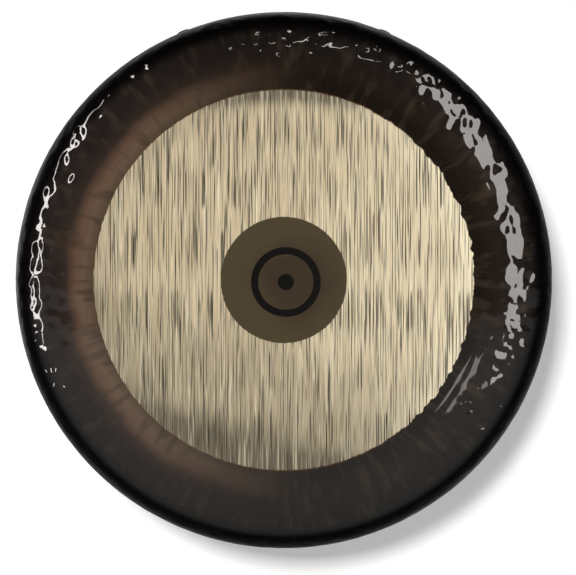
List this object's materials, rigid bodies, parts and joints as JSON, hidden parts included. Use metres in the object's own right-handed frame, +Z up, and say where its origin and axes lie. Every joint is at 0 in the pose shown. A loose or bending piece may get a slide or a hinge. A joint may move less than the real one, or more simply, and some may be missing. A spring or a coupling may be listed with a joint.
{
  "type": "hanging gong",
  "caption": "Round flat-faced hanging gong with a turned-back rim, a scraped bright face round a dark centre disc, and rubber-lined cord holes in its flange.",
  "frame": {"origin": "midway between the centres of the two cord holes, on the line that the gong swings about", "axes": "+Z up as the gong hangs; the struck face looks along -Y and the open back along +Y; +X to the right of someone facing the struck face"},
  "size_m": [0.8128, 0.095, 0.8128],
  "materials": {
    "nickel_silver": "hammered sheet; scraped bright face, dark oxide on the rim, centre disc and back",
    "black_rubber": "matt moulded rubber"
  },
  "bodies": {
    "root": {"gong_body": "nickel_silver", "left_grommet": "black_rubber", "right_grommet": "black_rubber"}
  },
  "joints": []
}
